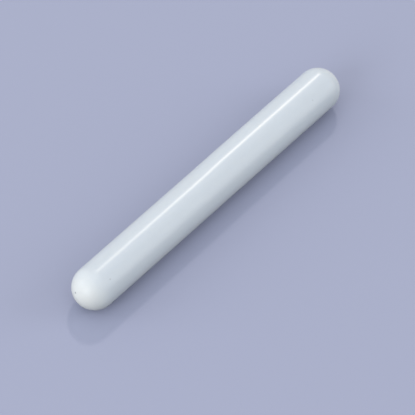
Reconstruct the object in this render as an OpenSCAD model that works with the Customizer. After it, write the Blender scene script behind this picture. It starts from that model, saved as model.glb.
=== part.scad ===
// Magnetic stir bar: a magnet rod sealed in a one-piece moulded PTFE jacket.
// The bar lies along X, with its centre on the origin and +Z up. All sizes are in millimetres.

/* [Jacket] */
// Overall length of the bar, from tip to tip
bar_length = 80; // [50:1:120]
// Outer diameter of the jacket, and of the hemispheres that close it
bar_diameter = 9; // [8:0.5:12]
// Thickness of the PTFE along the barrel, over the magnet
side_wall = 1.2; // [0.8:0.1:2]
// Thickness of the PTFE on the axis, from the magnet's end to the tip
end_wall = 3.1; // [2.5:0.1:6]

/* [Magnet] */
// Chamfer round both ends of the magnet rod
magnet_chamfer = 0.5; // [0.2:0.1:1]
// Space that the jacket leaves round the magnet after it has shrunk on to it
magnet_gap = 0.03; // [0.01:0.01:0.1]

/* [Colours] */
// Colour of the jacket
jacket_colour = "ghostwhite"; // [ghostwhite, white, whitesmoke, azure]
// Colour of the magnet rod
magnet_colour = "slategray"; // [slategray, gray, dimgray]

/* [Hidden] */
$fn = 128;

// Straight length between the two hemispheres
barrel_length = bar_length - bar_diameter;
// The pocket inside the jacket
pocket_length = bar_length - 2 * end_wall;
pocket_diameter = bar_diameter - 2 * side_wall;
// The magnet rod fills the pocket, less the gap on every side
magnet_length = pocket_length - 2 * magnet_gap;
magnet_diameter = pocket_diameter - 2 * magnet_gap;

// Turns a half profile, drawn with the axis along Y, about the bar's axis
module turned_along_x() {
    rotate([0, 90, 0])
        rotate_extrude()
            children();
}

// Half profile of a rod with a chamfer round each end
module chamfered_profile(length, diameter, chamfer) {
    end = length / 2;
    edge = diameter / 2;
    polygon([
        [0, -end], [edge - chamfer, -end], [edge, -end + chamfer],
        [edge, end - chamfer], [edge - chamfer, end], [0, end]
    ]);
}

// Half profile of a rod that ends in two true hemispheres
module round_ended_profile(length, diameter) {
    radius = diameter / 2;
    intersection() {
        union() {
            translate([-radius, -length / 2])
                square([diameter, length]);
            for (side = [-1, 1])
                translate([0, side * length / 2])
                    circle(d = diameter);
        }
        translate([0, -length / 2 - radius])
            square([radius, length + diameter]);
    }
}

// One-piece PTFE jacket, with the magnet's pocket closed in it
module jacket() {
    color(jacket_colour)
        turned_along_x()
            difference() {
                round_ended_profile(barrel_length, bar_diameter);
                chamfered_profile(pocket_length, pocket_diameter, magnet_chamfer);
            }
}

// Permanent magnet rod, ground round and chamfered
module magnet() {
    color(magnet_colour)
        turned_along_x()
            chamfered_profile(magnet_length, magnet_diameter, magnet_chamfer);
}

jacket();
magnet();
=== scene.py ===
import math

import bmesh
import bpy
from bpy.props import FloatProperty, FloatVectorProperty, IntProperty, PointerProperty
from bpy.types import Operator, Panel, PropertyGroup
from mathutils import Matrix, Vector, noise


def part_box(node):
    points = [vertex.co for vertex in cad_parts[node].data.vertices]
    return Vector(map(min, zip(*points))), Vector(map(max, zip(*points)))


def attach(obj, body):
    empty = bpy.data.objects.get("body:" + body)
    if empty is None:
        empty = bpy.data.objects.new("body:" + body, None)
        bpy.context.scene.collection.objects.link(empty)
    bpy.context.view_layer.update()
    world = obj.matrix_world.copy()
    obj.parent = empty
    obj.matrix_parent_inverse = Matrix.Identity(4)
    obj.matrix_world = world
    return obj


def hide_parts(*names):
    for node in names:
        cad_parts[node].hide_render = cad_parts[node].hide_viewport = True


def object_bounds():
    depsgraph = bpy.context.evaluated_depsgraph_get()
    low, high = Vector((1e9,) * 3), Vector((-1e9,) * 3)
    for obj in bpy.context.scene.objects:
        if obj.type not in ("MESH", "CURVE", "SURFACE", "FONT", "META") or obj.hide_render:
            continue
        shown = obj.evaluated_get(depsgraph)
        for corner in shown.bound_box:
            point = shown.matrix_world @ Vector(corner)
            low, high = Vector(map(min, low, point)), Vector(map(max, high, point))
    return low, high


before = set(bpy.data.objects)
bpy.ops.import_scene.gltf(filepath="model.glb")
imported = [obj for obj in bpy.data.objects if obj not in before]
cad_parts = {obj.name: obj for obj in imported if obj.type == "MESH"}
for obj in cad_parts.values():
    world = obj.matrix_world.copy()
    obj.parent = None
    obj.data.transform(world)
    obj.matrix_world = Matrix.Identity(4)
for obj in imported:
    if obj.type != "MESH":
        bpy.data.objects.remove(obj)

bl_info = {
    "name": "Magnetic Stir Bar",
    "version": (1, 0, 0),
    "blender": (4, 5, 0),
    "location": "3D View > Sidebar > Stir Bar",
    "description": "Dresses a PTFE-jacketed magnetic stir bar: jacket, magnet rod and studio stage",
    "category": "Object",
}

MM = 0.001
CAD_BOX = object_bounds()
JACKET_LOW, JACKET_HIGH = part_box("jacket")
MAGNET_LOW, MAGNET_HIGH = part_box("magnet")

# Marks in the skin: (along the bar, turn from +Y towards +Z in degrees, radius, depth,
# tint from 0 to 1), with lengths in millimetres
SKIN_MARKS = (
    (-39.70, 32.5, 0.30, 0.035, 0.9),
    (-34.53, 129.2, 0.26, 0.010, 0.5),
    (29.60, 129.5, 0.24, 0.010, 0.5),
    (-3.12, 91.9, 0.25, 0.008, 0.0),
)
# The upper skin is a little oval. The oval's long axis leans to one side along the near half
# and to the other along the far half, and it grows towards the ends.
OVAL_LEAN = math.radians(45)
OVAL_CROSSING = 1.4 * MM
OVAL_CROSSING_LENGTH = 5 * MM
OVAL_AT_MIDDLE = 0.8
OVAL_GROWTH = 0.5
RIPPLE_LENGTH = 9 * MM
RIPPLE_WIDTH = 3 * MM
RIPPLE_START = Vector((3.1, 7.7, 1.3))

# Where the grey over the magnet turns to the white of the ends, in radii past the barrel, and
# how far the clouds in the PTFE shift that edge to and fro
WHITE_START = -0.07
WHITE_FULL = 1.43
CLOUD_SHIFT = 0.12
# How far the grey stretch lies towards the far end
GREY_SHIFT = 0.45 * MM
# Tone of the PTFE: the least share of its colour, then what clouds, wisps and grain add to it
LEAST_TONE = 0.972
CLOUD_TONE = 0.012
WISP_TONE = 0.022
GRAIN_TONE = 0.022
CLOUD_SIZE = 6 * MM
WISP_SIZE = 1.25 * MM
WISP_STRETCH = (3, 1, 1)
GRAIN_SIZE = 0.4 * MM
GRAIN_HEIGHT = 0.002 * MM
CLOUD_ROUGHNESS = 0.02
PTFE_IOR = 1.35
# Light that scatters inside the PTFE: its share, its depth, and how far red, green and blue reach
SCATTER_SHARE = 0.5
SCATTER_DEPTH = 1.2 * MM
SCATTER_TINT = (1.0, 0.97, 0.94)
# Share of a mark's radius over which it has its full tint, and how steeply its dent rises
MARK_CORE = 0.25
MARK_STEEPNESS = 2

# Ground magnet alloy: rings left by the wheel, pores and blotches
RING_WIDTH = 0.2 * MM
RING_STRETCH = (0.4, 8, 8)
PORE_SIZE = 0.7 * MM
PORE_EDGE = (0.60, 0.74)
PORE_COVER = 0.7
PORE_DEPTH = 0.6
PORE_SHADE = 0.45
BLOTCH_SIZE = 4.5 * MM
BLOTCH_LIGHT = 1.18
GROUND_ROUGHNESS = 0.34
RING_ROUGHNESS = 0.14
PORE_ROUGHNESS = 0.2
GROUND_HEIGHT = 0.004 * MM

# The view's centre, across and up from the bar's centre
VIEW_SHIFT = (-0.386 * MM, -4.304 * MM)
SENSOR_WIDTH = 36
NEAREST_SEEN = 0.01
FARTHEST_SEEN = 20
# Half the side of the floor
FLOOR_REACH = 1.2
FLOOR_ROUGHNESS = 0.9
FLOOR_SPECULAR = 0.1
# Lamps: (name, turn from +X towards +Y and height in degrees, distance and diameter in metres)
LAMPS = (
    ("key", 32.8, 45.8, 3.0, 0.26),
    ("left", 180, 20, 2.0, 1.33),
    ("rear", 135, 20, 2.0, 1.33),
    ("right", -45, 20, 2.0, 1.33),
)
WHITE = (1.0, 1.0, 1.0)
SHARP_ANGLE = math.radians(30)
MERGE_DISTANCE = 0.0001 * MM


# ---------------------------------------------------------------------------
# Settings
# ---------------------------------------------------------------------------


class StirBarJacketSettings(PropertyGroup):
    length: FloatProperty(
        name="Length", description="Overall length of the bar, tip to tip",
        default=JACKET_HIGH.x - JACKET_LOW.x, unit="LENGTH", subtype="DISTANCE",
    )
    diameter: FloatProperty(
        name="Diameter", description="Outer diameter of the jacket and of its round ends",
        default=-2 * JACKET_LOW.z, unit="LENGTH", subtype="DISTANCE",
    )
    segments: IntProperty(
        name="Segments", description="Divisions round the bar", default=160, min=32, max=256,
    )
    barrel_rings: IntProperty(
        name="Barrel rings", description="Divisions along the straight barrel", default=176, min=8, max=400,
    )
    ovality: FloatProperty(
        name="Ovality", description="How far the moulded skin departs from round",
        default=0.05 * MM, unit="LENGTH", subtype="DISTANCE",
    )
    ripple: FloatProperty(
        name="Ripple", description="Height of the skin's fine, long ripples",
        default=0.005 * MM, unit="LENGTH", subtype="DISTANCE",
    )
    magnet_gap: FloatProperty(
        name="Magnet gap", description="Space between the sealed magnet rod and its pocket",
        default=0.03 * MM, unit="LENGTH", subtype="DISTANCE",
    )
    magnet_chamfer: FloatProperty(
        name="Magnet chamfer", description="Chamfer round both ends of the pocket",
        default=0.5 * MM, unit="LENGTH", subtype="DISTANCE",
    )


class StirBarFinishSettings(PropertyGroup):
    barrel_white: FloatVectorProperty(
        name="Barrel white", description="PTFE where the dark magnet lies close under it",
        subtype="COLOR", size=3, min=0, max=1, default=(0.675, 0.746, 0.825),
    )
    end_white: FloatVectorProperty(
        name="End white", description="Solid PTFE of the round ends",
        subtype="COLOR", size=3, min=0, max=1, default=(0.841, 0.877, 0.881),
    )
    mark_grey: FloatVectorProperty(
        name="Mark grey", description="Dust in the skin's small marks",
        subtype="COLOR", size=3, min=0, max=1, default=(0.420, 0.460, 0.490),
    )
    skin_roughness: FloatProperty(
        name="Skin roughness", description="Roughness of the polished PTFE skin",
        subtype="FACTOR", default=0.26, min=0, max=1,
    )
    magnet_grey: FloatVectorProperty(
        name="Magnet grey", description="Ground magnet alloy",
        subtype="COLOR", size=3, min=0, max=1, default=(0.36, 0.37, 0.39),
    )


class StirBarStageSettings(PropertyGroup):
    camera_azimuth: FloatProperty(
        name="Camera azimuth", description="Turn of the view, 0 looks along +Y",
        default=math.radians(-55.16), unit="ROTATION", subtype="ANGLE",
    )
    camera_elevation: FloatProperty(
        name="Camera elevation", description="Height of the view above the horizon",
        default=math.radians(46.91), unit="ROTATION", subtype="ANGLE",
    )
    camera_roll: FloatProperty(
        name="Camera roll", description="Lean of the upright to the right in the view",
        default=math.radians(4.78), unit="ROTATION", subtype="ANGLE",
    )
    camera_distance: FloatProperty(
        name="Camera distance", description="From the lens to the bar's centre",
        default=0.6898, unit="LENGTH", subtype="DISTANCE",
    )
    camera_lens: FloatProperty(
        name="Lens", description="Focal length on a 36 mm sensor", default=303.6, unit="CAMERA",
    )
    floor_colour: FloatVectorProperty(
        name="Floor colour", description="Plain pale surface under the bar",
        subtype="COLOR", size=3, min=0, max=1, default=(0.40, 0.435, 0.60),
    )
    floor_bounce: FloatProperty(
        name="Floor bounce", description="Share of the floor's colour that it throws back on the bar",
        subtype="FACTOR", default=0.15, min=0, max=1,
    )
    sky_colour: FloatVectorProperty(
        name="Sky colour", description="Even light from all round",
        subtype="COLOR", size=3, min=0, max=1, default=(1.0, 1.0, 1.0),
    )
    sky_strength: FloatProperty(
        name="Sky strength", description="Level of the even light", default=0.655, min=0,
    )
    key_strength: FloatProperty(
        name="Key strength", description="Share of a white surface's brightness that the key lamp gives",
        default=0.163, min=0,
    )
    key_colour: FloatVectorProperty(
        name="Key colour", description="Slightly warm light of the key lamp",
        subtype="COLOR", size=3, min=0, max=1, default=(1.0, 0.90, 0.77),
    )
    left_strength: FloatProperty(
        name="Left strength", description="The same share from the low lamp off the near end",
        default=0.402, min=0,
    )
    rear_strength: FloatProperty(
        name="Rear strength", description="The same share from the low lamp behind the near end",
        default=0.178, min=0,
    )
    right_strength: FloatProperty(
        name="Right strength", description="The same share from the low lamp before the far end",
        default=0.202, min=0,
    )


# ---------------------------------------------------------------------------
# Shader maths
# ---------------------------------------------------------------------------


class Wire:
    """A value on a shader socket, on which Python's arithmetic adds Math nodes."""

    def __init__(self, bench, socket):
        self.bench = bench
        self.socket = socket

    def maths(self, operation, *values):
        """Adds a Math node on the values."""
        return self.bench.node("ShaderNodeMath", {"operation": operation}, dict(enumerate(values)))

    def __add__(self, other):
        return self.maths("ADD", self, other)

    def __radd__(self, other):
        return self.maths("ADD", other, self)

    def __sub__(self, other):
        return self.maths("SUBTRACT", self, other)

    def __rsub__(self, other):
        return self.maths("SUBTRACT", other, self)

    def __mul__(self, other):
        return self.maths("MULTIPLY", self, other)

    def __rmul__(self, other):
        return self.maths("MULTIPLY", other, self)

    def __truediv__(self, other):
        return self.maths("DIVIDE", self, other)

    def __abs__(self):
        return self.maths("ABSOLUTE", self)

    def larger(self, other):
        return self.maths("MAXIMUM", self, other)

    def output(self, name):
        return Wire(self.bench, self.socket.node.outputs[name])


class Bench:
    """Builds one material's nodes."""

    def __init__(self, name):
        self.material = bpy.data.materials.get(name) or bpy.data.materials.new(name)
        self.material.use_nodes = True
        self.tree = self.material.node_tree
        self.tree.nodes.clear()
        self.position = self.node("ShaderNodeTexCoord", {}, {}).output("Object")

    def node(self, kind, settings, sockets):
        """Adds a node. Settings are set first, then each socket gets its value or link."""
        made = self.tree.nodes.new(kind)
        for key, value in settings.items():
            setattr(made, key, value)
        for key, value in sockets.items():
            if isinstance(value, Wire):
                self.tree.links.new(value.socket, made.inputs[key])
            else:
                made.inputs[key].default_value = value
        return Wire(self, made.outputs[0]) if made.outputs else None

    def noise(self, size, detail=2.0, stretch=(1, 1, 1)):
        """Cloudy noise from 0 to 1. Size is its cells', and stretch lengthens them along each axis."""
        mapping = self.node(
            "ShaderNodeMapping", {}, {"Vector": self.position, "Scale": tuple(1 / s for s in stretch)}
        )
        return self.node(
            "ShaderNodeTexNoise", {"noise_dimensions": "3D"},
            {"Vector": mapping, "Scale": 1 / size, "Detail": detail},
        ).output("Fac")

    def ramp(self, value, low, high, to_low=0.0, to_high=1.0):
        """Smooth step of a value from one range to another."""
        return self.node(
            "ShaderNodeMapRange", {"interpolation_type": "SMOOTHSTEP"},
            {"Value": value, "From Min": low, "From Max": high, "To Min": to_low, "To Max": to_high},
        )

    def mix(self, factor, first, second):
        """Colour that goes from the first to the second with the factor."""
        return self.node("ShaderNodeMixRGB", {}, {"Fac": factor, "Color1": first, "Color2": second})

    def bump(self, height, distance):
        """Relief whose height goes from 0 to the distance."""
        return self.node("ShaderNodeBump", {}, {"Height": height, "Distance": distance, "Strength": 1.0})

    def surface(self, sockets):
        """Closes the material with one shader, whose sockets get these values and links."""
        shader = self.node("ShaderNodeBsdfPrincipled", {}, sockets)
        self.node("ShaderNodeOutputMaterial", {}, {"Surface": shader})
        return self.material


def opaque(colour):
    """The colour with an alpha of 1."""
    return (*colour, 1.0)


# ---------------------------------------------------------------------------
# Finishes
# ---------------------------------------------------------------------------


def skin_point(along, turn, radius, half_barrel):
    """Point of the bar's skin at a place along it and a turn round it."""
    past = max(0.0, abs(along) - half_barrel)
    reach = math.sqrt(max(0.0, radius * radius - past * past))
    return Vector((along, reach * math.cos(turn), reach * math.sin(turn)))


def mark_points(jacket):
    """Centre, radius and depth of each mark in the skin, in metres, then its tint."""
    radius = jacket.diameter / 2
    half_barrel = jacket.length / 2 - radius
    for along, turn, reach, depth, tint in SKIN_MARKS:
        centre = skin_point(along * MM, math.radians(turn), radius, half_barrel)
        yield centre, reach * MM, depth * MM, tint


def ptfe_finish(jacket, finish):
    """Waxy PTFE: greyer and bluer over the dark magnet, whiter in the solid ends."""
    bench = Bench("ptfe_skin")
    radius = jacket.diameter / 2
    half_barrel = jacket.length / 2 - radius
    axes = bench.node("ShaderNodeSeparateXYZ", {}, {0: bench.position})
    past_barrel = (abs(axes.output("X") - GREY_SHIFT) - half_barrel) / radius
    clouds = bench.noise(CLOUD_SIZE, detail=3)
    wisps = bench.noise(WISP_SIZE, detail=3, stretch=WISP_STRETCH)
    grain = bench.noise(GRAIN_SIZE)
    solid_end = bench.ramp(past_barrel + CLOUD_SHIFT * (clouds - 0.5), WHITE_START, WHITE_FULL)
    plain = bench.mix(solid_end, opaque(finish.barrel_white), opaque(finish.end_white))
    tone = LEAST_TONE + CLOUD_TONE * clouds + WISP_TONE * wisps + GRAIN_TONE * grain
    mottled = bench.node("ShaderNodeVectorMath", {"operation": "SCALE"}, {0: plain, "Scale": tone})
    tints = 0.0
    for centre, reach, _, tint in mark_points(jacket):
        distance = bench.node(
            "ShaderNodeVectorMath", {"operation": "DISTANCE"}, {0: bench.position, 1: centre}
        ).output("Value")
        tints = bench.ramp(distance, MARK_CORE * reach, reach, tint, 0.0) + tints
    return bench.surface({
        "Base Color": bench.mix(tints, mottled, opaque(finish.mark_grey)),
        "Roughness": finish.skin_roughness + CLOUD_ROUGHNESS * (clouds - 0.5),
        "IOR": PTFE_IOR,
        "Subsurface Weight": SCATTER_SHARE,
        "Subsurface Radius": SCATTER_TINT,
        "Subsurface Scale": SCATTER_DEPTH,
        "Normal": bench.bump(grain, GRAIN_HEIGHT),
    })


def magnet_finish(finish):
    """Ground magnet alloy, with fine rings from the grinding wheel and a few darker pores."""
    bench = Bench("ground_magnet_alloy")
    rings = bench.noise(RING_WIDTH, stretch=RING_STRETCH)
    pores = bench.ramp(bench.noise(PORE_SIZE, detail=3), *PORE_EDGE)
    blotches = bench.noise(BLOTCH_SIZE, detail=3)
    light = tuple(min(1.0, c * BLOTCH_LIGHT) for c in finish.magnet_grey)
    dark = tuple(c * PORE_SHADE for c in finish.magnet_grey)
    body = bench.mix(blotches, opaque(finish.magnet_grey), opaque(light))
    return bench.surface({
        "Base Color": bench.mix(PORE_COVER * pores, body, opaque(dark)),
        "Metallic": 1.0,
        "Roughness": GROUND_ROUGHNESS + RING_ROUGHNESS * rings + PORE_ROUGHNESS * pores,
        "Normal": bench.bump(rings - PORE_DEPTH * pores, GROUND_HEIGHT),
    })


def floor_finish(stage):
    """Even, matt floor: pale where it is seen, but it throws less light back on the bar."""
    bench = Bench("floor")
    path = bench.node("ShaderNodeLightPath", {}, {})
    seen = path.output("Is Camera Ray")
    for ray in ("Is Glossy Ray", "Is Transmission Ray"):
        seen = seen.larger(path.output(ray))
    thrown = tuple(c * stage.floor_bounce for c in stage.floor_colour)
    return bench.surface({
        "Base Color": bench.mix(seen, opaque(thrown), opaque(stage.floor_colour)),
        "Roughness": FLOOR_ROUGHNESS,
        "Specular IOR Level": FLOOR_SPECULAR,
    })


# ---------------------------------------------------------------------------
# Mesh helpers
# ---------------------------------------------------------------------------


def face_rank(face, count):
    """Number that sorts a face by its lowest, next and highest corner, which no two faces share."""
    corners = sorted(v.index for v in face.verts)
    return (corners[0] * count + corners[1]) * count + corners[-1]


def object_from(bm, name, material):
    """Closes a bmesh into an object at the origin, shaded smooth. Its faces get a fixed order."""
    bm.verts.index_update()
    count = len(bm.verts)
    bm.faces.sort(key=lambda face: face_rank(face, count))
    mesh = bpy.data.meshes.new(name)
    bm.to_mesh(mesh)
    bm.free()
    mesh.materials.append(material)
    mesh.shade_smooth()
    made = bpy.data.objects.new(name, mesh)
    bpy.context.scene.collection.objects.link(made)
    return made


def skin_offset(point, jacket, half_barrel):
    """How far the skin stands out from the true round at a point. The line it rests on is true."""
    turn = math.atan2(point.z, point.y)
    past_barrel = max(0.0, abs(point.x) - half_barrel) / (jacket.diameter / 2)
    crossing = math.tanh((point.x - OVAL_CROSSING) / OVAL_CROSSING_LENGTH)
    long_axis = math.pi / 2 - OVAL_LEAN * crossing
    size = jacket.ovality * (OVAL_AT_MIDDLE + OVAL_GROWTH * abs(point.x) / half_barrel)
    oval = size * math.cos(2 * (turn - long_axis)) * math.sqrt(max(0.0, 1 - past_barrel))
    place = Vector((point.x / RIPPLE_LENGTH, point.y / RIPPLE_WIDTH, point.z / RIPPLE_WIDTH))
    ripple = jacket.ripple * noise.noise(place + RIPPLE_START)
    return (oval + ripple) * (1 + math.sin(turn)) / 2


# ---------------------------------------------------------------------------
# Pieces
# ---------------------------------------------------------------------------


def line_pocket(bm, jacket):
    """Adds the walls of the sealed pocket round the magnet rod, which face into the pocket."""
    skin = set(bm.faces)
    reach = jacket.magnet_gap - MAGNET_LOW.z
    bmesh.ops.create_cone(
        bm, cap_ends=True, segments=jacket.segments, radius1=reach, radius2=reach,
        depth=MAGNET_HIGH.x - MAGNET_LOW.x + 2 * jacket.magnet_gap,
        matrix=Matrix.Rotation(math.pi / 2, 4, "Y"),
    )
    caps = [f for f in bm.faces if f not in skin and len(f.verts) == jacket.segments]
    rims = [e for f in caps for e in f.edges]
    bmesh.ops.bevel(
        bm, geom=rims, offset=jacket.magnet_chamfer, offset_type="OFFSET", segments=1, profile=0.5,
        affect="EDGES", material=-1,
    )
    walls = [f for f in bm.faces if f not in skin]
    bmesh.ops.reverse_faces(bm, faces=walls)
    for edge in {e for f in walls for e in f.edges}:
        edge.smooth = edge.calc_face_angle() < SHARP_ANGLE


class STIRBAR_OT_jacket(Operator):
    """Model the seamless PTFE jacket and give it its waxy finish"""

    bl_idname = "stirbar.jacket"
    bl_label = "PTFE Jacket"

    def execute(self, context):
        jacket = context.scene.stirbar_jacket
        radius = jacket.diameter / 2
        half_barrel = jacket.length / 2 - radius
        bm = bmesh.new()
        tip = bm.verts.new((half_barrel + radius, 0, 0))
        dome = bmesh.ops.spin(
            bm, geom=[tip], cent=(half_barrel, 0, 0), axis=(0, 0, 1), angle=math.pi / 2,
            steps=jacket.segments // 4,
        )
        shoulder = [v for v in dome["geom_last"] if isinstance(v, bmesh.types.BMVert)]
        barrel = bmesh.ops.extrude_vert_indiv(bm, verts=shoulder)
        bmesh.ops.translate(bm, verts=barrel["verts"], vec=(-half_barrel, 0, 0))
        bmesh.ops.subdivide_edges(bm, edges=barrel["edges"], cuts=jacket.barrel_rings // 2 - 1)
        bmesh.ops.spin(
            bm, geom=bm.verts[:] + bm.edges[:], cent=(0, 0, 0), axis=(1, 0, 0), angle=2 * math.pi,
            steps=jacket.segments, use_merge=True,
        )
        bmesh.ops.remove_doubles(bm, verts=bm.verts[:], dist=MERGE_DISTANCE)
        bmesh.ops.mirror(
            bm, geom=bm.verts[:] + bm.edges[:] + bm.faces[:], merge_dist=MERGE_DISTANCE, axis="X",
        )
        bmesh.ops.remove_doubles(bm, verts=bm.verts[:], dist=MERGE_DISTANCE)
        bmesh.ops.recalc_face_normals(bm, faces=bm.faces[:])
        bm.normal_update()
        marks = list(mark_points(jacket))
        for v in bm.verts:
            out = v.normal.copy()
            height = skin_offset(v.co, jacket, half_barrel)
            for centre, reach, depth, _ in marks:
                near = (v.co - centre).length / reach
                height -= depth * math.exp(-MARK_STEEPNESS * near * near)
            v.co += out * height
        line_pocket(bm, jacket)
        made = object_from(bm, "jacket_skin", ptfe_finish(jacket, context.scene.stirbar_finish))
        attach(made, "root")
        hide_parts("jacket")
        return {"FINISHED"}


class STIRBAR_OT_magnet(Operator):
    """Give the sealed magnet rod its ground metal finish"""

    bl_idname = "stirbar.magnet"
    bl_label = "Magnet Rod"

    def execute(self, context):
        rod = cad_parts["magnet"]
        metal = magnet_finish(context.scene.stirbar_finish)
        for slot in rod.material_slots:
            slot.material = metal
        return {"FINISHED"}


class STIRBAR_OT_camera(Operator):
    """Place the camera"""

    bl_idname = "stirbar.camera"
    bl_label = "Camera"

    def execute(self, context):
        stage = context.scene.stirbar_stage
        azimuth = stage.camera_azimuth
        elevation = stage.camera_elevation
        back = Vector((
            math.sin(azimuth) * math.cos(elevation),
            -math.cos(azimuth) * math.cos(elevation),
            math.sin(elevation),
        ))
        turn = (-back).to_track_quat("-Z", "Y").to_matrix().to_4x4()
        turn = turn @ Matrix.Rotation(stage.camera_roll, 4, "Z")
        aim = turn.to_3x3() @ Vector((*VIEW_SHIFT, 0))
        camera = bpy.data.objects.new("camera", bpy.data.cameras.new("camera"))
        context.scene.collection.objects.link(camera)
        camera.matrix_world = Matrix.Translation(aim + back * stage.camera_distance) @ turn
        camera.data.sensor_width = SENSOR_WIDTH
        camera.data.lens = stage.camera_lens
        camera.data.clip_start = NEAREST_SEEN
        camera.data.clip_end = FARTHEST_SEEN
        context.scene.camera = camera
        return {"FINISHED"}


def disc_lamp(name, turn, height, distance, diameter, strength, colour):
    """Round lamp that lights a white surface facing it to the strength."""
    lamp = bpy.data.lights.new(name, "AREA")
    lamp.shape = "DISK"
    lamp.size = diameter
    lamp.color = colour
    lamp.energy = strength * math.pi ** 2 * distance ** 2
    made = bpy.data.objects.new(name, lamp)
    bpy.context.scene.collection.objects.link(made)
    out = Vector((math.cos(turn) * math.cos(height), math.sin(turn) * math.cos(height), math.sin(height)))
    made.location = out * distance
    made.rotation_mode = "QUATERNION"
    made.rotation_quaternion = out.to_track_quat("Z", "Y")


class STIRBAR_OT_stage(Operator):
    """Set the plain floor and the studio light"""

    bl_idname = "stirbar.stage"
    bl_label = "Stage"

    def execute(self, context):
        stage = context.scene.stirbar_stage
        bm = bmesh.new()
        bmesh.ops.create_grid(bm, x_segments=1, y_segments=1, size=FLOOR_REACH)
        bmesh.ops.translate(bm, verts=bm.verts[:], vec=(0, 0, CAD_BOX[0].z))
        object_from(bm, "floor", floor_finish(stage))
        for name, turn, height, distance, diameter in LAMPS:
            disc_lamp(
                f"{name}_lamp", math.radians(turn), math.radians(height), distance, diameter,
                getattr(stage, f"{name}_strength"), getattr(stage, f"{name}_colour", WHITE),
            )
        world = bpy.data.worlds.new("sky")
        world.use_nodes = True
        sky = world.node_tree.nodes["Background"]
        sky.inputs["Color"].default_value = opaque(stage.sky_colour)
        sky.inputs["Strength"].default_value = stage.sky_strength
        context.scene.world = world
        context.scene.view_settings.view_transform = "Standard"
        return {"FINISHED"}


class STIRBAR_PT_sidebar(Panel):
    """Stir bar pieces and their settings"""

    bl_idname = "STIRBAR_PT_sidebar"
    bl_label = "Stir Bar"
    bl_space_type = "VIEW_3D"
    bl_region_type = "UI"
    bl_category = "Stir Bar"

    def draw(self, context):
        for group, operators in SIDEBAR:
            box = self.layout.box()
            settings = getattr(context.scene, group)
            for name in settings.bl_rna.properties.keys():
                if name not in ("rna_type", "name"):
                    box.prop(settings, name)
            for operator in operators:
                box.operator(operator.bl_idname)


SIDEBAR = (
    ("stirbar_stage", (STIRBAR_OT_camera, STIRBAR_OT_stage)),
    ("stirbar_jacket", (STIRBAR_OT_jacket,)),
    ("stirbar_finish", (STIRBAR_OT_magnet,)),
)
GROUPS = {
    "stirbar_stage": StirBarStageSettings,
    "stirbar_jacket": StirBarJacketSettings,
    "stirbar_finish": StirBarFinishSettings,
}
CLASSES = (
    *GROUPS.values(), STIRBAR_OT_camera, STIRBAR_OT_stage, STIRBAR_OT_jacket, STIRBAR_OT_magnet,
    STIRBAR_PT_sidebar,
)


def register():
    for cls in CLASSES:
        bpy.utils.register_class(cls)
    for name, group in GROUPS.items():
        setattr(bpy.types.Scene, name, PointerProperty(type=group))


def unregister():
    for name in GROUPS:
        delattr(bpy.types.Scene, name)
    for cls in reversed(CLASSES):
        bpy.utils.unregister_class(cls)


def main():
    register()
    bpy.ops.stirbar.camera()
    bpy.ops.stirbar.stage()
    bpy.ops.stirbar.jacket()
    bpy.ops.stirbar.magnet()


if __name__ == "__main__":
    main()
